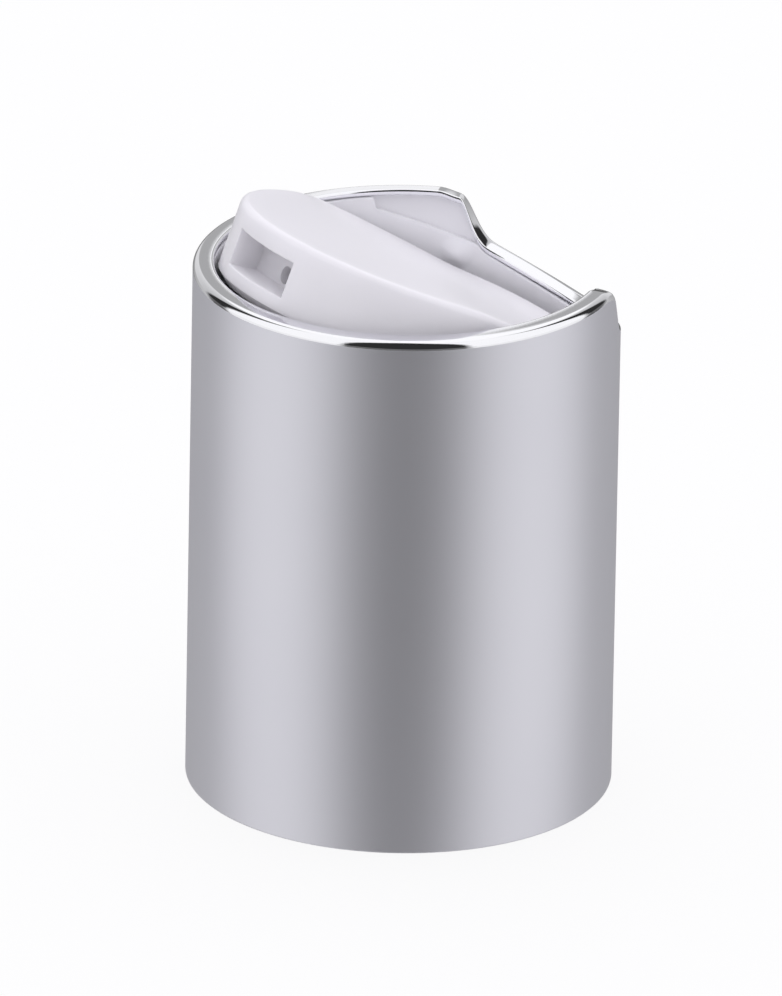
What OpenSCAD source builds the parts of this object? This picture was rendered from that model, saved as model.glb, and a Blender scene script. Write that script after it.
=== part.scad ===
// Disc top cap for a 24 mm bottle neck: a bright metal sleeve over a moulded
// body, with a disc that rocks on two pins and lifts its own nozzle.
// Millimetres, +Z up, origin at the middle of the bottom edge.
// The nozzle points to -Y and the finger scoop is at +Y. The disc is drawn open.

/* [Sleeve] */
// Outside diameter of the metal sleeve
sleeve_d = 28; // [27.4:0.1:32]
// Height of the sleeve
sleeve_h = 36; // [35:0.5:44]
// Thickness of the sheet metal
sleeve_t = 0.4; // [0.3:0.05:0.5]
// Width of the polished rim that is turned inwards
rim_w = 1.4; // [1.2:0.05:1.5]
// Radius of the rim's outer edge
rim_round = 0.3; // [0.2:0.05:0.6]

/* [Finger scoop] */
// Depth of the scoop in the middle
scoop_depth = 5.1; // [4:0.1:6]
// How much the scoop's floor rises from its middle to its shoulder
scoop_bow = 1.35; // [0.5:0.05:2]
// Angle from the middle to where the shoulder starts
scoop_floor_a = 33; // [24:1:36]
// Angle from the middle to where the scoop meets the rim
scoop_end_a = 49.5; // [48:0.5:56]
// How far the rim's inner edge lies below its outer edge in the scoop
rim_lean = 0.3; // [0:0.05:0.4]

/* [Body] */
// Gap between the body and the sleeve
body_gap = 0.05; // [0.02:0.01:0.15]
// How far the body's skirt stops above the sleeve's bottom edge
skirt_lift = 0.6; // [0:0.1:1.5]
// Wall of the skirt, from the sleeve side to the root of the neck thread
skirt_wall = 1.4; // [1.2:0.05:1.6]
// Length of the threaded bore
thread_l = 15.6; // [12:0.2:17]
// Depth of the plain relief between the thread and the deck
relief_l = 2.4; // [2.4:0.1:3]
// How much wider the relief is than the bore, on its radius
relief_step = 0.25; // [0.15:0.05:0.4]
// Thickness of the deck over the bottle's mouth
deck_t = 1.4; // [1:0.1:2]
// Room for the bottle's lip, from the thread's root in to the seal ring
lip_w = 2.75; // [2.5:0.05:3]
// Wall of the seal ring
seal_t = 0.7; // [0.5:0.1:1]
// Length of the seal ring
seal_l = 2.2; // [1.6:0.1:2.3]
// Distance behind the middle at which the body's wall is cut down
cheek_y = 4.3; // [3.8:0.1:5]
// How far the cut in the body's wall lies above the open disc, at the middle
cheek_rise = 0.45; // [0.3:0.05:0.7]
// Wall that is left behind that cut, against the sleeve
cheek_wall = 0.5; // [0.4:0.05:0.6]
// How far the detent bumps stand out of the body's wall
bump_out = 0.25; // [0.15:0.01:0.27]
// Radius of the detent bumps
bump_r = 2.2; // [1.8:0.1:2.6]
// Angle of the detent bumps from the scoop's middle
bump_a = 45; // [43:0.5:46]
// Depth of the detent bumps below the rim
bump_down = 4.2; // [4:0.1:4.6]

/* [Disc] */
// Gap between the disc's edge and the wall of the well
disc_gap = 0.4; // [0.35:0.05:0.6]
// Height of the disc at its nozzle
disc_h = 5.3; // [5:0.1:5.4]
// Angle through which the disc rocks from closed to open
disc_open = 21.5; // [18:0.5:22]
// Radius of the disc's top edge
disc_round = 0.5; // [0.3:0.1:0.8]
// Chamfer along the disc's bottom edge
disc_chamfer = 0.5; // [0.4:0.1:0.6]
// Thickness of the disc's top
disc_top_t = 1.2; // [1:0.1:1.4]
// Wall of the disc's skirt
disc_wall = 1.1; // [0.9:0.1:1.4]
// Where the thumb slope starts in front of the middle
thumb_start = 2; // [1:0.5:3]
// Where the thumb slope ends behind the middle
thumb_end = 8.6; // [7:0.1:9]
// How far the thumb rest lies below the disc's front
thumb_drop = 1.85; // [1:0.05:2]

/* [Nozzle and pivot] */
// Width of the nozzle's mouth
nozzle_w = 6.8; // [5:0.1:8]
// Height of the nozzle's mouth
nozzle_h = 2.45; // [2:0.05:2.5]
// Depth of the nozzle's mouth
nozzle_depth = 2.7; // [2.3:0.1:3]
// Thickness of the disc over the nozzle's mouth
nozzle_roof = 1.45; // [1.3:0.05:1.6]
// Diameter of the flow hole
flow_d = 1.2; // [0.8:0.1:1.2]
// Depth of the flow hole below the disc's top
flow_down = 3.1; // [2.8:0.05:3.1]
// Diameter of the pivot pins
pin_d = 1.6; // [1.2:0.1:1.7]
// Clearance around the pins and the valve drum, on the radius
pivot_gap = 0.05; // [0.03:0.01:0.08]
// Depth of the pivot below the disc's top
pivot_down = 2.25; // [2.15:0.05:2.35]
// Distance of the pivot behind the middle
pivot_y = 0.75; // [0.65:0.05:0.85]
// Radius of the valve drum under the disc
drum_r = 3.2; // [3:0.1:3.3]
// Width of the valve drum
drum_w = 4.8; // [4:0.1:5.4]

/* [Hidden] */
$fn = 96;

// sleeve and rim
sleeve_r = sleeve_d / 2;
inner_r = sleeve_r - sleeve_t;
well_r = sleeve_r - rim_w;
rim_under_z = sleeve_h - sleeve_t;

// body
body_r = inner_r - body_gap;
neck_r = body_r - skirt_wall;
relief_r = neck_r + relief_step;
thread_top_z = skirt_lift + thread_l;
deck_z = thread_top_z + relief_l;
well_z = deck_z + deck_t;
seal_r = neck_r - lip_w;

// disc, as it lies when it is closed
disc_r = well_r - disc_gap;
disc_top_z = sleeve_h;
disc_under_z = disc_top_z - disc_h;
rest_z = disc_top_z - thumb_drop;
pivot_z = disc_top_z - pivot_down;
pin_r = pin_d / 2;
pin_end_gap = 0.25;
pin_end_x = body_r - pin_end_gap;
flow_r = flow_d / 2;
flow_z = disc_top_z - flow_down;
nozzle_back_y = nozzle_depth - disc_r;
block_w = nozzle_w + 2 * disc_wall;
block_back_y = nozzle_back_y + disc_wall;
duct_w = flow_d + 2 * disc_wall;
duct_floor = 0.4;
duct_under_z = flow_z - flow_r - duct_floor;

// post that carries the valve seat, and the stops for the open disc
post_half_y = 2.3;
post_clear = 0.3;
post_top_z = duct_under_z - post_clear;
post_bore_r = 1.6;
post_roof = 1.4;
seat_z = pivot_z - drum_r - pivot_gap;
stop_gap = 0.3;
stop_x = 6;
stop_t = 1.2;
stop_front_y = 5;
stop_pitch = tan(disc_open);
stop_mid_z = pivot_z - (pivot_z - disc_under_z) / cos(disc_open);

// Height of a stop rib's top at y, along the underside of the open disc
function stop_top_z(y) = stop_mid_z - stop_gap - stop_pitch * (y - pivot_y);

// steps along half of the scoop, the angle at which it ends in a hair's step,
// where its cutter starts inside the body's wall, and a reach past every solid
scoop_steps = 24;
scoop_cut_a = scoop_end_a - 2;
scoop_in_r = 8;
reach = 30;
over = 1;
bite = 0.05;

// Share of the scoop's depth that is left at angle a on its shoulder
function shoulder(a) = a < scoop_floor_a ? 1
    : (1 + cos(180 * (a - scoop_floor_a) / (scoop_end_a - scoop_floor_a))) / 2;

// Depth of the scoop at angle a from its middle
function scoop_at(a) =
    (scoop_depth - scoop_bow * pow(a / scoop_floor_a, 2)) * shoulder(a);

// A point at radius r, at step i round the scoop, at height z
function scoop_point(r, i, z) =
    let (a = scoop_cut_a * i / scoop_steps) [-r * sin(a), r * cos(a), z];

// A point of the scoop's leaning surface at radius r and step i, lowered by down
function scoop_edge(r, i, down) =
    let (a = scoop_cut_a * abs(i) / scoop_steps, lean = (sleeve_r - r) * rim_lean / rim_w)
        scoop_point(r, i, sleeve_h - down - scoop_at(a) - lean * shoulder(a));

// Everything above the scoop's surface, lowered by down
module above_scoop(down = 0) {
    last = 8 * scoop_steps;
    points = [
        for (i = [-scoop_steps : scoop_steps])
            each [
                scoop_edge(scoop_in_r, i, down),
                scoop_edge(reach, i, down),
                scoop_point(reach, i, sleeve_h + reach),
                scoop_point(scoop_in_r, i, sleeve_h + reach)
            ]
    ];
    sides = [
        for (s = [0 : 4 : last - 4], e = [0 : 3])
            let (a = s + e, b = s + (e + 1) % 4)
                each [[a, b, a + 4], [b, b + 4, a + 4]]
    ];
    ends = [[0, 2, 1], [0, 3, 2], [last + 2, last, last + 1], [last + 3, last, last + 2]];
    polyhedron(points = points, faces = concat(sides, ends), convexity = 6);
}

// A plain cylinder from z0 to z1
module post(r, z0, z1) {
    translate([0, 0, z0]) cylinder(r = r, h = z1 - z0);
}

// A round rod along X at the pivot
module pivot_rod(r, x0, x1) {
    translate([x0, pivot_y, pivot_z]) rotate([0, 90, 0]) cylinder(r = r, h = x1 - x0);
}

// Turns the closed disc about its pins to the open position
module opened() {
    translate([0, pivot_y, pivot_z])
        rotate([-disc_open, 0, 0])
            translate([0, -pivot_y, -pivot_z]) children();
}

// A side view in Y and Z, spread along X by w to both sides of the middle
module side_view(w) {
    rotate([90, 0, 90]) translate([0, 0, -w / 2]) linear_extrude(w) children();
}

// Sleeve: one piece of sheet metal, with its rim turned inwards and scooped
module sleeve_blank() {
    rotate_extrude() {
        square([sleeve_r - rim_round, sleeve_h]);
        square([sleeve_r, sleeve_h - rim_round]);
        translate([sleeve_r - rim_round, sleeve_h - rim_round]) circle(r = rim_round, $fn = 32);
    }
}

// The room inside the sheet, under the rim
module sleeve_hollow() {
    difference() {
        post(inner_r, -over, rim_under_z);
        above_scoop(sleeve_t);
    }
}

module outer_shell() {
    color([0.75, 0.75, 0.78])
    difference() {
        sleeve_blank();
        above_scoop();
        sleeve_hollow();
        post(well_r, -over, sleeve_h + over);
    }
}

// Body: skirt, deck, seal ring, well wall, valve post and stops in one moulding.
// What is hollowed out of it from below, round the seal ring.
module neck_side() {
    post(neck_r, skirt_lift - over, thread_top_z);
    difference() {
        post(relief_r, thread_top_z - bite, deck_z);
        difference() {
            post(seal_r, deck_z - seal_l, deck_z + over);
            post(seal_r - seal_t, deck_z - seal_l - over, deck_z + over);
        }
    }
}

// The wall behind the middle is cut down along the slope of the open disc
module cheek_cut() {
    slope_z = sleeve_h + cheek_rise;
    intersection() {
        side_view(2 * sleeve_d)
            polygon([
                [cheek_y, slope_z - stop_pitch * cheek_y],
                [sleeve_d, slope_z - stop_pitch * sleeve_d],
                [sleeve_d, slope_z + over],
                [cheek_y, slope_z + over]
            ]);
        post(body_r - cheek_wall, well_z, sleeve_h + over);
    }
}

// A rib on the well's floor that the underside of the open disc comes down on
module stop_rib() {
    intersection() {
        translate([stop_x, 0, 0])
            side_view(stop_t)
                polygon([
                    [stop_front_y, well_z - bite],
                    [sleeve_r, well_z - bite],
                    [sleeve_r, stop_top_z(sleeve_r)],
                    [stop_front_y, stop_top_z(stop_front_y)]
                ]);
        post(body_r, well_z - over, sleeve_h);
    }
}

// A rounded bump that the disc's edge snaps past
module detent_bump() {
    intersection() {
        rotate([0, 0, 90 + bump_a])
            translate([well_r + bump_r - bump_out, 0, sleeve_h - bump_down]) sphere(r = bump_r);
        post(body_r, well_z, sleeve_h);
    }
}

// The post whose saddle is the seat of the valve drum
module valve_post() {
    difference() {
        translate([-drum_w / 2, pivot_y - post_half_y, deck_z + bite])
            cube([drum_w, 2 * post_half_y, post_top_z - deck_z - bite]);
        pivot_rod(drum_r + pivot_gap, -reach, reach);
    }
}

module cap_body() {
    color([0.93, 0.93, 0.95])
    difference() {
        union() {
            difference() {
                post(body_r, skirt_lift, rim_under_z);
                post(well_r, well_z, sleeve_h);
                neck_side();
            }
            valve_post();
            for (side = [0, 1])
                mirror([side, 0, 0]) {
                    stop_rib();
                    detent_bump();
                }
        }
        cheek_cut();
        above_scoop(sleeve_t);
        pivot_rod(pin_r + pivot_gap, well_r - over, reach);
        pivot_rod(pin_r + pivot_gap, -reach, over - well_r);
        translate([0, pivot_y, 0]) post(post_bore_r, deck_z - over, seat_z - post_roof);
        translate([0, pivot_y, 0]) post(flow_r, deck_z, pivot_z);
    }
}

// Disc: top, skirt, nozzle, duct, valve drum and pins in one moulding, drawn
// closed. Its side view has the thumb slope, lowered, and is cut off at under_z.
module disc_side(lower = 0, under_z = disc_under_z - over) {
    side_view(2 * sleeve_d)
        polygon([
            [-sleeve_d, under_z],
            [sleeve_d, under_z],
            [sleeve_d, rest_z - lower],
            [thumb_end, rest_z - lower],
            [-thumb_start, disc_top_z - lower],
            [-sleeve_d, disc_top_z - lower]
        ]);
}

// A round blank with a rounded top edge at top_z and a chamfered bottom edge
module disc_blank(top_z) {
    rotate_extrude() {
        difference() {
            union() {
                translate([0, disc_under_z]) square([disc_r - disc_round, top_z - disc_under_z]);
                translate([0, disc_under_z]) square([disc_r, top_z - disc_round - disc_under_z]);
                translate([disc_r - disc_round, top_z - disc_round]) circle(r = disc_round, $fn = 32);
            }
            polygon([
                [disc_r - disc_chamfer, disc_under_z],
                [disc_r + over, disc_under_z - over],
                [disc_r + over, disc_under_z + disc_chamfer + over],
                [disc_r, disc_under_z + disc_chamfer]
            ]);
        }
    }
}

// The disc's outside: a rounded puck in front, and a lower one at the thumb rest
module disc_skin() {
    intersection() {
        disc_side();
        union() {
            disc_blank(rest_z);
            difference() {
                disc_blank(disc_top_z);
                translate([-sleeve_d, thumb_end, rest_z - disc_round]) cube(2 * sleeve_d);
            }
        }
    }
}

// The hollow under the disc's top
module disc_hollow() {
    intersection() {
        post(disc_r - disc_wall, disc_under_z - over, sleeve_h);
        disc_side(disc_top_t);
    }
}

// Solid stock for the nozzle, the duct and the valve drum, under the disc's top
module disc_core() {
    intersection() {
        union() {
            translate([-block_w / 2, -sleeve_d, disc_under_z])
                cube([block_w, sleeve_d + block_back_y, disc_h]);
            translate([-duct_w / 2, -sleeve_d, duct_under_z])
                cube([duct_w, sleeve_d + pivot_y, disc_top_z - duct_under_z]);
            pivot_rod(drum_r, -drum_w / 2, drum_w / 2);
        }
        post(disc_r - disc_wall / 2, disc_under_z - drum_r, sleeve_h);
        disc_side(disc_top_t / 2, disc_under_z - drum_r);
    }
}

// The nozzle's mouth, the hole behind it and the turn down through the drum
module nozzle_and_duct() {
    translate([-nozzle_w / 2, nozzle_back_y - reach, disc_top_z - nozzle_roof - nozzle_h])
        cube([nozzle_w, reach, nozzle_h]);
    translate([0, pivot_y + flow_r, flow_z])
        rotate([90, 0, 0]) cylinder(r = flow_r, h = pivot_y + flow_r - nozzle_back_y + bite);
    translate([0, pivot_y, pivot_z])
        rotate([disc_open, 0, 0])
            translate([0, 0, -drum_r - over]) cylinder(r = flow_r, h = drum_r + over);
}

module flip_disc() {
    color([0.94, 0.94, 0.97])
    opened()
    difference() {
        union() {
            difference() {
                disc_skin();
                disc_hollow();
            }
            disc_core();
            pivot_rod(pin_r, disc_r - disc_wall / 2, pin_end_x);
            pivot_rod(pin_r, -pin_end_x, disc_wall / 2 - disc_r);
        }
        nozzle_and_duct();
    }
}

outer_shell();
cap_body();
flip_disc();
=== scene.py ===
# %% [markdown]
# # A disc top cap, piece by piece
# The real cap is three pieces: an aluminium sleeve with a polished rim, a white
# moulded body inside it, and a white disc that rocks on two pins and lifts its
# own nozzle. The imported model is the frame: it says where each piece is and how
# the disc moves. Each piece is built again here with the soft edges, the thread
# and the finish of the real one, and stands for its plain solid.

# %% Load the frame
import math

import bmesh
import bpy
from mathutils import Matrix, Vector


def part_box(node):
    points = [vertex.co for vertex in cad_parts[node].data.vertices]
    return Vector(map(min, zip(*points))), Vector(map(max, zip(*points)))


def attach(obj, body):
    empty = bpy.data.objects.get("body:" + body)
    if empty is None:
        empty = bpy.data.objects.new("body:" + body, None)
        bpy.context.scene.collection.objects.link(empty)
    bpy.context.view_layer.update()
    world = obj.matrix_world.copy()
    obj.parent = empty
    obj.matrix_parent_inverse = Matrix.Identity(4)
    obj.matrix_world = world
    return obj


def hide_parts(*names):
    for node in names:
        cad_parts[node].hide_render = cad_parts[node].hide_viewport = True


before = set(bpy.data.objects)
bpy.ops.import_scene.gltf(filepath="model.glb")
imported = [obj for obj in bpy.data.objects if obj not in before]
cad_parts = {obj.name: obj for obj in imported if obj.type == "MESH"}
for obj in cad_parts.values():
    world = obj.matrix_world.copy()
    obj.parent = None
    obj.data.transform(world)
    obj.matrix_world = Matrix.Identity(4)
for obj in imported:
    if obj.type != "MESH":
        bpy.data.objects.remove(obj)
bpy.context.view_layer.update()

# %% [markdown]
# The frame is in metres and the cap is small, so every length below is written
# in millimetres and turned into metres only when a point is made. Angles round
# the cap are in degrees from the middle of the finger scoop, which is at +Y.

MM = 0.001


def around(radius, angle, height):
    """A point at an angle from the middle of the scoop."""
    turn = math.radians(angle)
    return (-radius * math.sin(turn), radius * math.cos(turn), height)


def both_sides(half):
    """The angles of one half, from 0 to 180, and their mirror images."""
    return [-a for a in reversed(half) if 0 < a < 180] + list(half)


def steps(start, end, count):
    """Evenly spaced values from start up to, but not including, end."""
    return [start + (end - start) * i / count for i in range(count)]


def smooth(share):
    """An eased step from 0 to 1."""
    s = max(0.0, min(1.0, share))
    return s * s * (3 - 2 * s)


# %% [markdown]
# Most of the cap is round, but its rim dips and its wall is cut down, so a plain
# lathe won't do. Each piece is a ring of sections instead: one closed outline
# for each angle, all with the same number of points, joined side by side. The
# outline's corners get true arcs, because a moulded or drawn edge is never sharp.

# %% Outlines and rings of sections
def outline(corners):
    """Points in radius and height. A corner is (r, z), or (r, z, arc, count)."""
    points = []
    for i, corner in enumerate(corners):
        here = Vector(corner[:2])
        if len(corner) == 2:
            points.append(here)
            continue
        arc, count = corner[2:]
        into = (Vector(corners[i - 1][:2]) - here).normalized()
        out = (Vector(corners[(i + 1) % len(corners)][:2]) - here).normalized()
        half = math.acos(max(-1.0, min(1.0, into.dot(out)))) / 2
        centre = here + (into + out).normalized() * (arc / math.sin(half))
        first = here + into * (arc / math.tan(half)) - centre
        last = here + out * (arc / math.tan(half)) - centre
        bend = math.pi - 2 * half
        for k in range(count + 1):
            share = k / count
            swung = first * math.sin((1 - share) * bend) + last * math.sin(share * bend)
            points.append(centre + swung / math.sin(bend))
    return points


def ring_of(columns, closed=True, open_bands=()):
    """A bmesh of columns of points, joined side by side all the way round."""
    bm = bmesh.new()
    grid = [[bm.verts.new(Vector(p) * MM) for p in column] for column in columns]
    rows = len(columns[0])
    for c, column in enumerate(grid):
        after = grid[(c + 1) % len(grid)]
        for r in range(rows if closed else rows - 1):
            if (c, r) not in open_bands:
                s = (r + 1) % rows
                bm.faces.new((column[r], after[r], after[s], column[s]))
    return bm, grid


def as_object(name, bm, merge=0.0001):
    """Merges the points that meet, turns the faces outwards and makes an object."""
    bmesh.ops.remove_doubles(bm, verts=bm.verts, dist=merge * MM)
    bmesh.ops.recalc_face_normals(bm, faces=bm.faces)
    mesh = bpy.data.meshes.new(name)
    bm.to_mesh(mesh)
    bm.free()
    made = bpy.data.objects.new(name, mesh)
    bpy.context.scene.collection.objects.link(made)
    return made


# %% [markdown]
# Holes and joined stock are booleans, as on the real mould: a core pulls a hole
# and a pocket adds stock. The tools are thrown away once the result is baked.

# %% Booleans and smooth shading
CREASE_ANGLE = 32


def carved(target, *tools):
    """Adds or cuts each (operation, tool) in turn and keeps the result."""
    for operation, tool in tools:
        step = target.modifiers.new(operation.lower(), "BOOLEAN")
        step.operation, step.object, step.solver = operation, tool, "EXACT"
    graph = bpy.context.evaluated_depsgraph_get()
    mesh = bpy.data.meshes.new_from_object(target.evaluated_get(graph))
    target.modifiers.clear()
    target.data = mesh
    for tool in {tool for _, tool in tools}:
        bpy.data.objects.remove(tool)
    return target


def rod(start, end, radius, count=48):
    """A round rod between two points."""
    bm = bmesh.new()
    line = Vector(end) - Vector(start)
    turn = Vector((0, 0, 1)).rotation_difference(line).to_matrix().to_4x4()
    place = Matrix.Translation((Vector(start) + Vector(end)) * MM / 2) @ turn
    bmesh.ops.create_cone(
        bm, cap_ends=True, segments=count, radius1=radius * MM, radius2=radius * MM,
        depth=line.length * MM, matrix=place,
    )
    return as_object("rod", bm)


def bar(side, x_from, x_to):
    """A side view in Y and Z, spread along X."""
    bm = bmesh.new()
    ends = [[bm.verts.new(Vector((x, y, z)) * MM) for y, z in side] for x in (x_from, x_to)]
    bm.faces.new(ends[0])
    bm.faces.new(ends[1])
    for i in range(len(side)):
        j = (i + 1) % len(side)
        bm.faces.new((ends[0][i], ends[0][j], ends[1][j], ends[1][i]))
    return as_object("bar", bm)


def block(low, high):
    """A plain box between two corners."""
    (x0, y0, z0), (x1, y1, z1) = low, high
    return bar([(y0, z0), (y1, z0), (y1, z1), (y0, z1)], x0, x1)


def finished(piece, node, body, slot, *materials):
    """Smooth shading with crisp edges, the finish, and the piece's place in the frame."""
    piece.data.shade_smooth()
    piece.data.set_sharp_from_angle(angle=math.radians(CREASE_ANGLE))
    for material in materials:
        piece.data.materials.append(material)
    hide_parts(node)
    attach(piece, body)
    low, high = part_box(node)
    print(f"{piece.name}: {len(piece.data.polygons)} faces, for a solid",
          [round(size / MM, 2) for size in high - low], "mm in size")


# %% [markdown]
# The finger scoop is one smooth dip in the rim. Its floor is bowed and leans
# inwards. A shoulder carries it up, slowly at first and then steeply, and a small
# toe rounds it into the level rim. The shoulder is sharper at the cut inner edge
# than at the outer one, where the sheet is bent. The sleeve, its turned-in rim
# and the wall of the body below all follow this one curve.

# %% The curve of the rim
SLEEVE_R, SLEEVE_H, SHEET = 14.0, 36.0, 0.4
WELL_R = 12.6
SCOOP_DEPTH, SCOOP_BOW, BOW_AT, RIM_LEAN = 4.9, 1.35, 33.0, 0.3
SCOOP_FLOOR, SCOOP_END, SHARPER_FOOT, SHARPER_TOP = 31.5, 46.0, 2.0, 1.5
TOE_DROP, TOE_FULL, TOE_END = 0.35, 44.0, 51.5


def shoulder(angle, inward):
    """The share of the scoop's depth: 1 on its floor, 0 on the level rim, sharper inside."""
    floor, end = SCOOP_FLOOR + SHARPER_FOOT * inward, SCOOP_END - SHARPER_TOP * inward
    part = max(0.0, min(1.0, (abs(angle) - floor) / (end - floor)))
    return (1 + math.cos(math.pi * part * part)) / 2


def scoop(angle, radius=SLEEVE_R):
    """How far the rim dips at an angle. In the scoop it also leans inwards."""
    inward = (SLEEVE_R - radius) / (SLEEVE_R - WELL_R)
    dip = SCOOP_DEPTH - SCOOP_BOW * (angle / BOW_AT) ** 2 + RIM_LEAN * inward
    share = shoulder(angle, inward)
    toe = smooth((TOE_END - abs(angle)) / (TOE_END - TOE_FULL))
    return dip * share + TOE_DROP * toe * (1 - share)


print("rim dips", [round(scoop(a), 2) for a in (0, 20, 33, 41, 47)], "mm at 0 to 47 degrees")

# %% [markdown]
# The fine detail of each finish is the same kind of thing at different scales:
# soft patches that change the tone and the roughness, and a fine grain that
# barely lifts the surface. One node group makes both, and each material sets its
# own values on it.

# %% The shared grain group
def node_in(tree, kind, inputs=None, **settings):
    """A new node with its settings, its values and its links."""
    made = tree.nodes.new(kind)
    for key, value in settings.items():
        setattr(made, key, value)
    for key, value in (inputs or {}).items():
        if isinstance(value, bpy.types.NodeSocket):
            tree.links.new(value, made.inputs[key])
        else:
            made.inputs[key].default_value = value
    return made


def grain_group():
    """Tone, roughness and height that change gently over a surface."""
    tree = bpy.data.node_groups.new("fine grain", "ShaderNodeTree")
    for name, kind, start in (
        ("Color", "NodeSocketColor", (0.8, 0.8, 0.8, 1)),
        ("Patch Color", "NodeSocketColor", (0.7, 0.7, 0.7, 1)),
        ("Patch Scale", "NodeSocketFloat", 150.0),
        ("Grain Scale", "NodeSocketFloat", 6000.0),
        ("Stretch", "NodeSocketVector", (1, 1, 1)),
        ("Roughness", "NodeSocketFloat", 0.3),
        ("Roughness Spread", "NodeSocketFloat", 0.05),
    ):
        socket = tree.interface.new_socket(name, in_out="INPUT", socket_type=kind)
        socket.default_value = start
    for name, kind in (("Color", "NodeSocketColor"), ("Roughness", "NodeSocketFloat"),
                       ("Height", "NodeSocketFloat")):
        tree.interface.new_socket(name, in_out="OUTPUT", socket_type=kind)
    given = tree.nodes.new("NodeGroupInput").outputs
    where = node_in(tree, "ShaderNodeTexCoord").outputs["Object"]
    drawn = node_in(tree, "ShaderNodeVectorMath", {0: where, 1: given["Stretch"]},
                    operation="MULTIPLY").outputs[0]
    patches = node_in(tree, "ShaderNodeTexNoise", {
        "Vector": where, "Scale": given["Patch Scale"], "Detail": 3.0, "Roughness": 0.5,
    }).outputs["Fac"]
    grain = node_in(tree, "ShaderNodeTexNoise", {
        "Vector": drawn, "Scale": given["Grain Scale"], "Detail": 2.0, "Roughness": 0.6,
    }).outputs["Fac"]
    tone = node_in(tree, "ShaderNodeMix", {
        0: patches, 6: given["Color"], 7: given["Patch Color"],
    }, data_type="RGBA").outputs[2]
    swing = node_in(tree, "ShaderNodeMath", {0: grain, 1: 0.5}, operation="SUBTRACT").outputs[0]
    rough = node_in(tree, "ShaderNodeMath", {
        0: swing, 1: given["Roughness Spread"], 2: given["Roughness"],
    }, operation="MULTIPLY_ADD").outputs[0]
    end = tree.nodes.new("NodeGroupOutput")
    for name, source in (("Color", tone), ("Roughness", rough), ("Height", grain)):
        tree.links.new(source, end.inputs[name])
    return tree


GRAIN = grain_group()
print("node group:", GRAIN.name)

# %% [markdown]
# The sleeve is clear anodised aluminium with a fine satin on its side, which
# spreads a reflection into soft upright bands. Its rim is burnished as it is
# turned in, so it mirrors the studio sharply. Both are the same metal with a
# different roughness. The plastic is white polypropylene: a little light goes
# in and comes out again nearby, so its edges look soft, and its skin has the
# faint orange peel of a polished mould.

# %% Materials
def surface(name, color, patch, patch_scale, grain_scale, roughness, spread, bump,
            stretch=(1, 1, 1), **plain):
    """A material whose tone, roughness and grain come from the shared group."""
    material = bpy.data.materials.new(name)
    material.use_nodes = True
    tree = material.node_tree
    shader = tree.nodes["Principled BSDF"]
    grain = node_in(tree, "ShaderNodeGroup", {}, node_tree=GRAIN)
    for key, value in (("Color", (*color, 1)), ("Patch Color", (*patch, 1)),
                       ("Patch Scale", patch_scale), ("Grain Scale", grain_scale),
                       ("Stretch", stretch), ("Roughness", roughness),
                       ("Roughness Spread", spread)):
        grain.inputs[key].default_value = value
    lift = node_in(tree, "ShaderNodeBump", {
        "Height": grain.outputs["Height"], "Strength": bump, "Distance": 0.01 * MM,
    })
    tree.links.new(grain.outputs["Color"], shader.inputs["Base Color"])
    tree.links.new(grain.outputs["Roughness"], shader.inputs["Roughness"])
    tree.links.new(lift.outputs["Normal"], shader.inputs["Normal"])
    for key, value in plain.items():
        shader.inputs[key.replace("_", " ")].default_value = value
    print("material:", name)
    return material


SATIN = surface("satin aluminium", (0.76, 0.755, 0.81), (0.73, 0.725, 0.785), 90.0,
                9000.0, 0.52, 0.05, 0.25, Metallic=1.0)
POLISHED = surface("polished aluminium rim", (0.86, 0.86, 0.89), (0.83, 0.83, 0.865), 200.0,
                   5000.0, 0.06, 0.04, 0.1, Metallic=1.0)
BODY_WHITE = surface("white body moulding", (0.97, 0.965, 0.98), (0.955, 0.95, 0.97), 160.0,
                     2500.0, 0.34, 0.08, 0.35, IOR=1.49, Subsurface_Weight=0.2,
                     Subsurface_Radius=(1.0, 1.0, 1.0), Subsurface_Scale=0.8 * MM)
DISC_WHITE = surface("white disc moulding", (0.88, 0.87, 0.885), (0.865, 0.855, 0.875), 160.0,
                     2500.0, 0.32, 0.08, 0.35, IOR=1.49, Subsurface_Weight=0.45,
                     Subsurface_Radius=(1.0, 1.0, 1.0), Subsurface_Scale=1.5 * MM)

# %% [markdown]
# The sleeve starts as a flat blank that is drawn into a cup, trimmed, turned in
# at the rim and burnished. Its outline runs up the side, over the tight bend, in
# along the flange that falls a little outwards, round the cut edge and back down
# the inside. The rows that the burnisher touches get the second material.

# %% The aluminium sleeve
RIM_BEND, FLANGE_FALL, KNEE_IN, LIP_FLAT, POLISH_DOWN = 0.55, 0.10, 0.75, 0.25, 0.6
SLEEVE_FOOT, SCOOP_SIDE = 16.0, 54


def sleeve_outline(angle):
    """The sheet's outline at one angle, from the inside of the bottom edge."""
    inside = SLEEVE_R - SHEET

    def top(radius, fall=0.0):
        return (radius, SLEEVE_H - fall - scoop(angle, radius))

    return outline([
        (inside, 0, 0.08, 2), (SLEEVE_R, 0, 0.12, 3), (SLEEVE_R, SLEEVE_FOOT),
        (*top(SLEEVE_R, FLANGE_FALL), RIM_BEND, 12), top(SLEEVE_R - KNEE_IN, FLANGE_FALL / 4),
        top(WELL_R + LIP_FLAT), (*top(WELL_R), 0.15, 4), (*top(WELL_R, SHEET), 0.1, 3),
        (*top(inside, SHEET), 0.08, 2), (inside, SLEEVE_FOOT),
    ])


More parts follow.
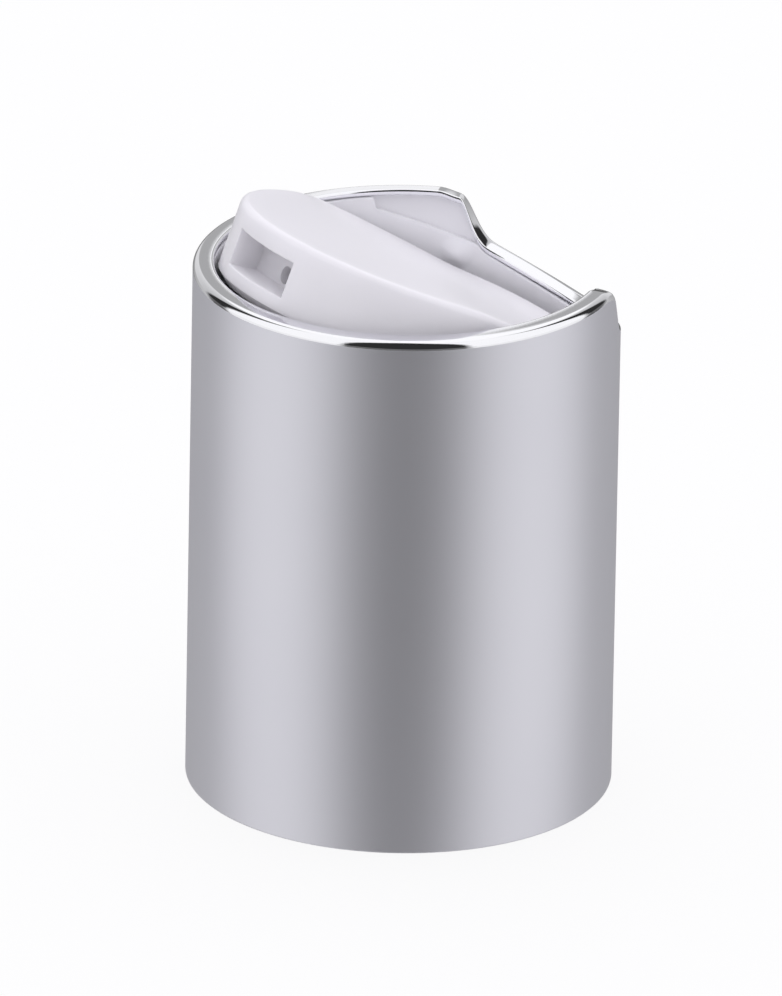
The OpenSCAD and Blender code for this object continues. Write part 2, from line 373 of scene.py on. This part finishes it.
half = steps(0, SCOOP_SIDE, 160) + steps(SCOOP_SIDE, 180, 100) + [180]
sleeve_bm, sleeve_grid = ring_of(
    [[around(r, a, z) for r, z in sleeve_outline(a)] for a in both_sides(half)]
)
polished_rows = set()
for row, (r, z) in enumerate(sleeve_outline(180)):
    if z > SLEEVE_H - POLISH_DOWN:
        polished_rows.add(row)
rows = len(sleeve_grid[0])
for f, face in enumerate(sleeve_bm.faces):
    row = f % rows
    face.material_index = 1 if row in polished_rows and (row + 1) % rows in polished_rows else 0
sleeve = as_object("aluminium_sleeve", sleeve_bm)
finished(sleeve, "outer_shell", "cap", "sleeve_aluminium", SATIN, POLISHED)

# %% [markdown]
# The body is one moulding, turned like a lathe part below and cut down above.
# Behind the middle its wall slopes with the open disc, so a finger can reach the
# disc's edge, and it steps up to full height in front of that. A thin wall is
# left standing outside the cut, under the sheet. Two soft bumps on the wall hold
# the disc's edge when it is closed.

# %% The body's wall
BODY_R, SKIRT_LIFT, NECK_R, THREAD_TOP = 13.55, 0.6, 12.15, 16.2
DECK, WELL_FLOOR, RELIEF_R, SEAL_OUT, SEAL_IN, SEAL_DROP = 18.6, 20.0, 12.4, 9.4, 8.7, 2.2
OPEN_ANGLE, CHEEK_Y, CHEEK_TOP, CHEEK_WALL = 21.5, 4.3, 36.45, 0.5
PIVOT_Y, PIVOT_Z, SHEET_GAP, CUT_SOFT = 0.75, 33.75, 0.03, 0.3
BUMP_ANGLE, BUMP_Z, BUMP_OUT, BUMP_SPREAD = 45.0, 31.8, 0.36, 1.25
SLOPE = math.tan(math.radians(OPEN_ANGLE))
CHEEK_R = BODY_R - CHEEK_WALL


def wall_top(radius, angle):
    """Height of the body's wall: under the rim, or cut down along the open disc."""
    y = radius * math.cos(math.radians(angle))
    under_rim = SLEEVE_H - SHEET - SHEET_GAP - scoop(angle, radius)
    if radius > CHEEK_R:
        return under_rim
    cut = min(under_rim, CHEEK_TOP - SLOPE * y)
    return under_rim + (cut - under_rim) * smooth((y - CHEEK_Y) / CUT_SOFT + 0.5)


def bump(angle, height):
    """How far a detent bump stands out of the wall at a point."""
    along = math.radians(abs(angle) - BUMP_ANGLE) * WELL_R
    away = math.hypot(along, height - BUMP_Z) / BUMP_SPREAD
    return BUMP_OUT * (1 - away * away) ** 2 if away < 1 else 0.0


def body_outline(angle, bend):
    """The moulding's outline at one angle. The cut's step lies square to the cap."""
    inner, ledge = wall_top(WELL_R, angle), wall_top(CHEEK_R, angle + bend)
    outer = wall_top(BODY_R, angle + bend)
    foot = min(ledge, outer - 0.15)
    wall = [inner - 0.12 - 0.1 * k for k in range(1, 40)]
    wall += steps(wall[-1], WELL_FLOOR + 0.5, 6)[1:]
    wall = [(WELL_R - bump(angle, z), z) for z in wall]
    return outline([
        (0, DECK), (4, DECK), (SEAL_IN, DECK, 0.2, 3), (SEAL_IN, DECK - SEAL_DROP, 0.25, 4),
        (SEAL_OUT, DECK - SEAL_DROP, 0.3, 4), (SEAL_OUT, DECK, 0.2, 3),
        (RELIEF_R, DECK, 0.3, 3),
        (RELIEF_R, THREAD_TOP), (NECK_R, THREAD_TOP, 0.08, 2), (NECK_R, SKIRT_LIFT, 0.4, 4),
        (BODY_R, SKIRT_LIFT, 0.3, 4), (BODY_R, 18), (BODY_R, outer, 0.05, 3),
        (CHEEK_R + 0.03, outer, 0.05, 3), (CHEEK_R, foot, 0.04, 2),
        (WELL_R, inner, 0.12, 4), *wall, (WELL_R, WELL_FLOOR, 0.4, 4),
        (8, WELL_FLOOR), (4, WELL_FLOOR), (0, WELL_FLOOR),
    ])


STEP_ANGLE = math.degrees(math.acos(CHEEK_Y / WELL_R))
STEP_BEND = math.degrees(math.acos(CHEEK_Y / CHEEK_R)) - STEP_ANGLE
half = (steps(0, 36, 24) + steps(36, 56, 50) + steps(56, STEP_ANGLE - 1, 12)
        + steps(STEP_ANGLE - 1, STEP_ANGLE + 1, 16) + steps(STEP_ANGLE + 1, 180, 70) + [180])
columns = []
for a in both_sides(half):
    bend = STEP_BEND * smooth(1 - abs(abs(a) - STEP_ANGLE) / 8) * (1 if a > 0 else -1)
    columns.append([
        around(r, a + bend * smooth((r - WELL_R) / (CHEEK_R - WELL_R)) * (z > DECK), z)
        for r, z in body_outline(a, bend)
    ])
body_bm, _ = ring_of(columns, closed=False)
body = as_object("moulded_body", body_bm)
print("body's wall:", len(body.data.polygons), "faces")

# %% [markdown]
# Inside, the moulding carries the neck thread, one and a half turns of a rounded
# ridge that fades in and out of the bore. The ridge is a small outline carried
# along a helix, right-handed like every bottle thread, and joined to the wall.

# %% The neck thread
PITCH, THREAD_TURNS, THREAD_FOOT, THREAD_CREST = 3.175, 1.6, 3.4, 11.2
THREAD_FADE, THREAD_STEPS = 0.08, 160


def ridge(share):
    """The ridge's outline at a share of its length, sunk into the wall at its ends."""
    height = smooth(min(share, 1 - share) / THREAD_FADE)
    crest = NECK_R + 0.1 - (NECK_R + 0.1 - THREAD_CREST) * height
    middle = THREAD_FOOT + PITCH * THREAD_TURNS * share
    side = [(NECK_R + 0.2, -0.95), (NECK_R - 0.1 * height + 0.1, -0.75),
            (crest + 0.15, -0.4), (crest, -0.2)]
    side += [(r, -z) for r, z in reversed(side)]
    return [around(r, 360 * THREAD_TURNS * share, middle + z) for r, z in side]


thread_bm = bmesh.new()
loops = [[thread_bm.verts.new(Vector(p) * MM) for p in ridge(k / THREAD_STEPS)]
         for k in range(THREAD_STEPS + 1)]
for one, two in zip(loops, loops[1:]):
    for i in range(len(one)):
        j = (i + 1) % len(one)
        thread_bm.faces.new((one[i], one[j], two[j], two[i]))
thread_bm.faces.new(loops[0])
thread_bm.faces.new(reversed(loops[-1]))
thread = as_object("thread", thread_bm, merge=0)
print("thread rises", round(PITCH * THREAD_TURNS, 2), "mm in", THREAD_TURNS, "turns")

# %% [markdown]
# On the deck stands the valve post. Its top is a saddle for the disc's drum, and
# a wide bore with a small hole through its roof brings the liquid up. Two ribs
# beside it stop the open disc. They are simple stock, so they are simple solids
# here too, added to the wall and then drilled.

# %% The body's post, ribs and holes
DRUM_R, DRUM_W, RUN = 3.2, 4.8, 0.05
PIN_R, FLOW_R, POST_TOP, POST_BORE, POST_HALF, SEAT_WALL = 0.8, 0.6, 31.6, 1.6, 2.3, 1.4
RIB_FRONT, RIB_REAR, RIB_IN, RIB_OUT, CHEEK_IN, CHEEK_OUT = 5.0, 11.6, 5.4, 6.6, 11.6, 15.0
SEAT = PIVOT_Z - DRUM_R - RUN
DISC_UNDER, STOP_GAP = 30.7, 0.3
STOP_MIDDLE = PIVOT_Z - (PIVOT_Z - DISC_UNDER) / math.cos(math.radians(OPEN_ANGLE)) - STOP_GAP


def stop_top(y):
    """Height of a stop rib, along the underside of the open disc."""
    return STOP_MIDDLE - SLOPE * (y - PIVOT_Y)


post = carved(
    block((-DRUM_W / 2, PIVOT_Y - POST_HALF, DECK + 0.5),
          (DRUM_W / 2, PIVOT_Y + POST_HALF, POST_TOP)),
    ("DIFFERENCE", rod((-9, PIVOT_Y, PIVOT_Z), (9, PIVOT_Y, PIVOT_Z), DRUM_R + RUN, 96)),
)
rib_side = [(RIB_FRONT, WELL_FLOOR - 0.5), (RIB_REAR, WELL_FLOOR - 0.5),
            (RIB_REAR, stop_top(RIB_REAR)), (RIB_FRONT, stop_top(RIB_FRONT))]
carved(
    body,
    ("UNION", thread),
    ("UNION", post),
    ("UNION", bar(rib_side, RIB_IN, RIB_OUT)),
    ("UNION", bar(rib_side, -RIB_OUT, -RIB_IN)),
    ("DIFFERENCE", rod((CHEEK_IN, PIVOT_Y, PIVOT_Z), (CHEEK_OUT, PIVOT_Y, PIVOT_Z), PIN_R + RUN)),
    ("DIFFERENCE", rod((-CHEEK_OUT, PIVOT_Y, PIVOT_Z), (-CHEEK_IN, PIVOT_Y, PIVOT_Z), PIN_R + RUN)),
    ("DIFFERENCE", rod((0, PIVOT_Y, DECK - 1), (0, PIVOT_Y, SEAT - SEAT_WALL), POST_BORE)),
    ("DIFFERENCE", rod((0, PIVOT_Y, DECK), (0, PIVOT_Y, PIVOT_Z), FLOW_R)),
)
finished(body, "cap_body", "cap", "body_plastic", BODY_WHITE)

# %% [markdown]
# The disc is a round puck whose top slopes down from just in front of the
# middle, so that a thumb finds it, and eases out again at the rear edge. The
# slope starts and ends softly, so the top is a height over Y rather than flat
# faces. The upper edge is a true round and the lower one a small bevel. The
# nozzle's mouth is left open in the ring of sections and lined with its own walls.

# %% The disc's outside
DISC_R, DISC_TOP, DISC_EDGE, DISC_CHAMFER = 12.2, 36.0, 0.5, 0.5
THUMB_START, THUMB_END, THUMB_DROP, START_SOFT, END_SOFT = -2.0, 8.6, 1.85, 2.5, 1.2
MOUTH_HALF, MOUTH_TOP, MOUTH_FLOOR, MOUTH_BACK = 3.4, 34.55, 32.1, -9.5
MOUTH_HEIGHTS = (MOUTH_TOP, 33.7, 32.9, MOUTH_FLOOR)
TOP_RINGS, EDGE_STEPS = 14, 10


def eased(y, start, soft):
    """A ramp of slope 1 from start, bent softly over soft on both sides of it."""
    t = max(0.0, min(1.0, (y - start + soft) / (2 * soft)))
    return 2 * soft * (t ** 3 - t ** 4 / 2) + max(0.0, y - start - soft)


def disc_top(y):
    """Height of the closed disc's top."""
    fall = THUMB_DROP / (THUMB_END - THUMB_START)
    return DISC_TOP - fall * (eased(y, THUMB_START, START_SOFT) - eased(y, THUMB_END, END_SOFT))


MOUTH_ANGLE = math.degrees(math.asin(MOUTH_HALF / DISC_R))
SIDE_FOOT = DISC_UNDER + DISC_CHAMFER
SIDE_SPAN = DISC_TOP - DISC_EDGE - SIDE_FOOT
SIDE_SHARES = [(z - SIDE_FOOT) / SIDE_SPAN for z in MOUTH_HEIGHTS]


def disc_column(angle):
    """Points from the middle of the top, over the edge, to the middle below."""
    def at(radius, lower=0.0):
        y = around(radius, angle, 0)[1]
        return around(radius, angle, disc_top(y) - lower)

    flat_r = DISC_R - DISC_EDGE
    points = [at(r) for r in steps(0, flat_r, TOP_RINGS)]
    for k in range(EDGE_STEPS + 1):
        turn = math.radians(90 * k / EDGE_STEPS)
        points.append(at(flat_r + DISC_EDGE * math.sin(turn), DISC_EDGE * (1 - math.cos(turn))))
    edge_z = points[-1][2]
    for share in SIDE_SHARES + [0]:
        points.append(around(DISC_R, angle, SIDE_FOOT + (edge_z - SIDE_FOOT) * share))
    return points + [around(r, angle, DISC_UNDER) for r in (DISC_R - DISC_CHAMFER, 6, 0)]


half = steps(0, MOUTH_ANGLE, 14) + steps(MOUTH_ANGLE, 180, 120) + [180]
angles = both_sides(half)
mouth = [c for c, b in enumerate(angles) if abs(b) < MOUTH_ANGLE + 0.01]
first_row = TOP_RINGS + EDGE_STEPS + 1
mouth_rows = range(first_row, first_row + len(MOUTH_HEIGHTS))
disc_bm, disc_grid = ring_of(
    [disc_column(180 + b) for b in angles], closed=False,
    open_bands={(c, r) for c in mouth[:-1] for r in mouth_rows[:-1]},
)
print("disc's mouth spans", len(mouth), "columns between heights",
      [round(disc_grid[mouth[0]][r].co.z / MM, 2) for r in (mouth_rows[0], mouth_rows[-1])])

# %% [markdown]
# The mouth is a pocket with a roof, a floor, two jambs and a back. Its corners
# get a hair of rounding, because a sharp edge would catch no light at all.

# %% The nozzle's mouth
DEPTH_STEPS, CRISP_ANGLE, CRISP_ROUND = 4, 50, 0.1
pocket = {}


def pocket_point(c, r, d):
    """The pocket's point at a column, a row and a step of depth."""
    if d == 0:
        return disc_grid[c][r]
    if (c, r, d) not in pocket:
        front = disc_grid[c][r].co
        y = front.y + (MOUTH_BACK * MM - front.y) * d / DEPTH_STEPS
        pocket[c, r, d] = disc_bm.verts.new((front.x, y, front.z))
    return pocket[c, r, d]


def pocket_face(*corners):
    """One face of the pocket, from its corners' columns, rows and depths."""
    disc_bm.faces.new([pocket_point(*corner) for corner in corners])


for c, after in zip(mouth, mouth[1:]):
    for d in range(DEPTH_STEPS):
        for r in (mouth_rows[0], mouth_rows[-1]):
            pocket_face((c, r, d), (after, r, d), (after, r, d + 1), (c, r, d + 1))
    for r in mouth_rows[:-1]:
        back = DEPTH_STEPS
        pocket_face((c, r, back), (after, r, back), (after, r + 1, back), (c, r + 1, back))
for c in (mouth[0], mouth[-1]):
    for r in mouth_rows[:-1]:
        for d in range(DEPTH_STEPS):
            pocket_face((c, r, d), (c, r + 1, d), (c, r + 1, d + 1), (c, r, d + 1))
bmesh.ops.remove_doubles(disc_bm, verts=disc_bm.verts, dist=0.0001 * MM)
bmesh.ops.recalc_face_normals(disc_bm, faces=disc_bm.faces)
crisp = [e for e in disc_bm.edges
         if len(e.link_faces) == 2 and e.calc_face_angle(0) > math.radians(CRISP_ANGLE)]
bmesh.ops.bevel(disc_bm, geom=crisp, offset=CRISP_ROUND * MM, segments=3, profile=0.5,
                affect="EDGES")
disc = as_object("moulded_disc", disc_bm)
print("mouth lined, with", len(crisp), "edges softened")

# %% [markdown]
# Below, the disc is cored out to an even wall, apart from the stock round the
# mouth and the duct. The valve drum and the two pins are on the pivot line. The
# duct runs back from the mouth and turns down through the drum, where it meets
# the post's hole only when the disc is open.

# %% The disc's underside, drum, pins and duct
DISC_SKIN, DISC_WALL, FLOW_Z, STOCK_BACK, STOCK_FLOOR = 1.2, 1.1, 32.9, -8.4, 31.9
PAST_FRONT, BELOW, ABOVE, PIN_END, PIN_SUNK, DOWN = -13, 29, 38, 13.3, 0.55, 5
DUCT_PAST, DRUM_STEPS = 0.3, 96
core_r = DISC_R - DISC_WALL
core_bm, _ = ring_of([
    [around(0, a, disc_top(0) - DISC_SKIN)]
    + [around(r, a, disc_top(around(r, a, 0)[1]) - DISC_SKIN) for r in steps(1.5, core_r, 7)]
    + [around(core_r, a, disc_top(around(core_r, a, 0)[1]) - DISC_SKIN)]
    + [around(core_r, a, DISC_UNDER - 1), around(0, a, DISC_UNDER - 1)]
    for a in steps(-180, 180, 120)
], closed=False)
core = carved(
    as_object("core", core_bm),
    ("DIFFERENCE", block((-MOUTH_HALF - DISC_WALL, PAST_FRONT, BELOW),
                         (MOUTH_HALF + DISC_WALL, STOCK_BACK, ABOVE))),
    ("DIFFERENCE", block((-FLOW_R - DISC_WALL, PAST_FRONT, STOCK_FLOOR),
                         (FLOW_R + DISC_WALL, PIVOT_Y, ABOVE))),
)
drum_side = []
for k in range(DRUM_STEPS):
    turn = math.radians(360 * k / DRUM_STEPS)
    y, z = PIVOT_Y + DRUM_R * math.cos(turn), PIVOT_Z + DRUM_R * math.sin(turn)
    drum_side.append((y, min(z, disc_top(y) - DISC_SKIN / 2)))
lean = math.radians(OPEN_ANGLE)
down = (0, PIVOT_Y + DOWN * math.sin(lean), PIVOT_Z - DOWN * math.cos(lean))
carved(
    disc,
    ("DIFFERENCE", core),
    ("UNION", bar(drum_side, -DRUM_W / 2, DRUM_W / 2)),
    ("UNION", rod((DISC_R - PIN_SUNK, PIVOT_Y, PIVOT_Z), (PIN_END, PIVOT_Y, PIVOT_Z), PIN_R)),
    ("UNION", rod((-PIN_END, PIVOT_Y, PIVOT_Z), (PIN_SUNK - DISC_R, PIVOT_Y, PIVOT_Z), PIN_R)),
    ("DIFFERENCE",
     rod((0, PIVOT_Y + FLOW_R, FLOW_Z), (0, MOUTH_BACK - DUCT_PAST, FLOW_Z), FLOW_R)),
    ("DIFFERENCE", rod((0, PIVOT_Y, PIVOT_Z), down, FLOW_R)),
)
pivot = Matrix.Translation((0, PIVOT_Y * MM, PIVOT_Z * MM))
disc.data.transform(pivot @ Matrix.Rotation(-lean, 4, "X") @ pivot.inverted())
finished(disc, "flip_disc", "disc", "disc_plastic", DISC_WHITE)

# %% [markdown]
# The camera stands well back with a long lens, 22 degrees above the table and
# 60 degrees round from the nozzle, and leans by one degree. Its place is worked
# out from the cap's own edges: how many pixels a millimetre takes, and where
# the middle of the cap lies in a picture of 782 by 996.

# %% The camera
VIEW_AZIMUTH, VIEW_HEIGHT, VIEW_LEAN = 60.0, 22.44, 1.0247
CAMERA_FAR, PIXELS_PER_MM, LONG_SIDE, SENSOR = 1800.0, 15.2815, 996, 36.0
AIM_RIGHT, AIM_UP = -0.7757, 1.2233

azimuth, height, tip = (math.radians(v) for v in (VIEW_AZIMUTH, VIEW_HEIGHT, VIEW_LEAN))
back = Vector((math.sin(azimuth) * math.cos(height), -math.cos(azimuth) * math.cos(height),
               math.sin(height)))
level = Vector((math.cos(azimuth), math.sin(azimuth), 0))
upright = back.cross(level)
right = level * math.cos(tip) + upright * math.sin(tip)
up = upright * math.cos(tip) - level * math.sin(tip)
aim = Vector((0, 0, SLEEVE_H / 2)) + right * AIM_RIGHT + up * AIM_UP
camera = bpy.data.objects.new("camera", bpy.data.cameras.new("camera"))
bpy.context.scene.collection.objects.link(camera)
camera.data.sensor_width = SENSOR
camera.data.lens = SENSOR * PIXELS_PER_MM * CAMERA_FAR / LONG_SIDE
camera.data.clip_start, camera.data.clip_end = 0.05, 20
spin = Matrix((right, up, back)).transposed().to_4x4()
camera.matrix_world = Matrix.Translation((aim + back * CAMERA_FAR) * MM) @ spin
bpy.context.scene.camera = camera
print("lens", round(camera.data.lens, 1), "mm from", CAMERA_FAR, "mm away")

# %% [markdown]
# Bright metal shows the room, so the studio is half of its look. This one is a
# ring round the table, written as light by direction: two wide soft boxes at
# the sides, a dark gap towards the camera, a grey wall behind, and a large soft
# light overhead. Below the level a second, dimmer ring stands for the light off
# the table. The white plastic gets a softer light without edges: dim from the
# camera's side, brighter from behind and above, with a key light high in front.
# The camera itself sees only white, and the metal sees the ring, not the floor.

# %% The studio
DARK, BOX_LIGHT, SIDE_LIGHT, BACK_GREY, BACK_LIGHT, TOP_LIGHT = 0.03, 1.1, 0.6, 0.44, 1.0, 1.15
RING = [(0, DARK), (31, DARK), (35, BOX_LIGHT), (106, BOX_LIGHT), (110, DARK), (126, DARK),
        (130, SIDE_LIGHT), (166, SIDE_LIGHT + 0.2), (170, BACK_GREY), (177.2, BACK_GREY),
        (178.6, BACK_LIGHT), (180, BACK_LIGHT)]
LOW_RING = [(0, 0.17), (31, 0.17), (37, 1.0), (106, 1.0), (112, 0.14), (124, 0.14),
            (132, 0.6), (150, 0.45), (170, 0.2), (180, 0.1)]
TOP_LEAN, TOP_EDGE, EDGE_BLUR, LEVEL_BLUR = 27.5, 30.0, 2.0, -0.05
KEY_RISE, KEY_POWER = 64.0, 3.0
SOFT_FRONT, SOFT_BACK, SOFT_TOP, SOFT_KEY = 0.1, 1.05, 0.15, 1.12
SOFT_TINT = (0.985, 0.97, 1.05)

world = bpy.data.worlds.new("studio")
bpy.context.scene.world = world
world.use_nodes = True
room = world.node_tree
room.nodes.clear()
look = node_in(room, "ShaderNodeTexCoord").outputs["Generated"]
flat = node_in(room, "ShaderNodeVectorMath", {0: look, 1: (1, 1, 0)}, operation="MULTIPLY")
flat = node_in(room, "ShaderNodeVectorMath", {0: flat.outputs[0]}, operation="NORMALIZE")
front = Vector((math.sin(azimuth), -math.cos(azimuth), 0))


def toward(vector, direction):
    """How far a direction of the room points along another one, from -1 to 1."""
    return node_in(room, "ShaderNodeVectorMath", {0: vector, 1: direction},
                   operation="DOT_PRODUCT").outputs["Value"]


def ring_light(share, stops):
    """Light by the angle round the room, from a list of angles and levels."""
    ramp = node_in(room, "ShaderNodeValToRGB", {"Fac": share})
    while len(ramp.color_ramp.elements) < len(stops):
        ramp.color_ramp.elements.new(0.5)
    for stop, (angle, light) in zip(ramp.color_ramp.elements, stops):
        stop.position = angle / 180
        stop.color = (light, light, light, 1)
    return ramp.outputs["Color"]


def leaning(rise_angle, side):
    """A direction that rises from the level, towards the camera or away from it."""
    climb = math.radians(rise_angle)
    return Vector((0, 0, math.sin(climb))) + front * math.cos(climb) * side


def reckon(operation, *values):
    """One step of arithmetic on the room's values."""
    return node_in(room, "ShaderNodeMath", dict(enumerate(values)),
                   operation=operation).outputs[0]


def rescaled(value, *ends):
    """A value moved from one range, low and high, onto another, or onto 0 to 1."""
    return node_in(room, "ShaderNodeMapRange", {0: value, **dict(enumerate(ends, 1))}).outputs[0]


def blend(share, one, two):
    """One colour, or another where the share is 1."""
    return node_in(room, "ShaderNodeMix", {0: share, 6: one, 7: two},
                   data_type="RGBA").outputs[2]


turn = toward(flat.outputs[0], front)
share = rescaled(reckon("ARCCOSINE", turn), 0.0, math.pi)
rise = toward(look, leaning(90 - TOP_LEAN, -1))
lid = rescaled(rise, math.cos(math.radians(TOP_EDGE + EDGE_BLUR)),
               math.cos(math.radians(TOP_EDGE - EDGE_BLUR)))
under = rescaled(toward(look, (0, 0, 1)), 0.0, LEVEL_BLUR)
sides = blend(under, ring_light(share, RING), ring_light(share, LOW_RING))
lit = blend(lid, sides, (TOP_LIGHT, TOP_LIGHT, TOP_LIGHT, 1))
key = reckon("MAXIMUM", toward(look, leaning(KEY_RISE, 1)), 0.0)
fill = rescaled(turn, -1.0, 1.0, SOFT_BACK, SOFT_FRONT)
fill = reckon("MULTIPLY_ADD", reckon("MAXIMUM", rise, 0.0), SOFT_TOP, fill)
fill = reckon("MULTIPLY_ADD", reckon("POWER", key, KEY_POWER), SOFT_KEY, fill)
fill = node_in(room, "ShaderNodeVectorMath", {0: SOFT_TINT, "Scale": fill},
               operation="SCALE").outputs[0]
path_of = node_in(room, "ShaderNodeLightPath").outputs
soft = blend(path_of["Is Diffuse Ray"], lit, fill)
shown = blend(path_of["Is Camera Ray"], soft, (1, 1, 1, 1))
glow = node_in(room, "ShaderNodeBackground", {"Color": shown, "Strength": 1.0})
node_in(room, "ShaderNodeOutputWorld", {"Surface": glow.outputs[0]})
print("studio ring:", RING)

# %% [markdown]
# The floor is a plain white sheet. The camera sees most of it as plain white,
# with enough of its own shading left to keep the cap's shadow.

# %% The floor
FLOOR_HALF, PAPER, PAPER_ROUGH, PAPER_GLOW = 3.0, 0.9, 0.8, 0.85
floor_bm = bmesh.new()
bmesh.ops.create_grid(floor_bm, x_segments=2, y_segments=2, size=FLOOR_HALF)
floor = as_object("floor", floor_bm)
paper = bpy.data.materials.new("white paper")
paper.use_nodes = True
sheet = paper.node_tree
matt = sheet.nodes["Principled BSDF"]
matt.inputs["Base Color"].default_value = (PAPER, PAPER, PAPER, 1)
matt.inputs["Roughness"].default_value = PAPER_ROUGH
white = node_in(sheet, "ShaderNodeEmission", {"Color": (1, 1, 1, 1), "Strength": 1.0})
seen = node_in(sheet, "ShaderNodeLightPath").outputs["Is Camera Ray"]
mostly = node_in(sheet, "ShaderNodeMath", {0: seen, 1: PAPER_GLOW},
                 operation="MULTIPLY").outputs[0]
both = node_in(sheet, "ShaderNodeMixShader", {0: mostly, 1: matt.outputs[0], 2: white.outputs[0]})
sheet.links.new(both.outputs[0], sheet.nodes["Material Output"].inputs["Surface"])
floor.data.materials.append(paper)
floor.visible_glossy = False
bpy.context.scene.view_settings.view_transform = "Standard"
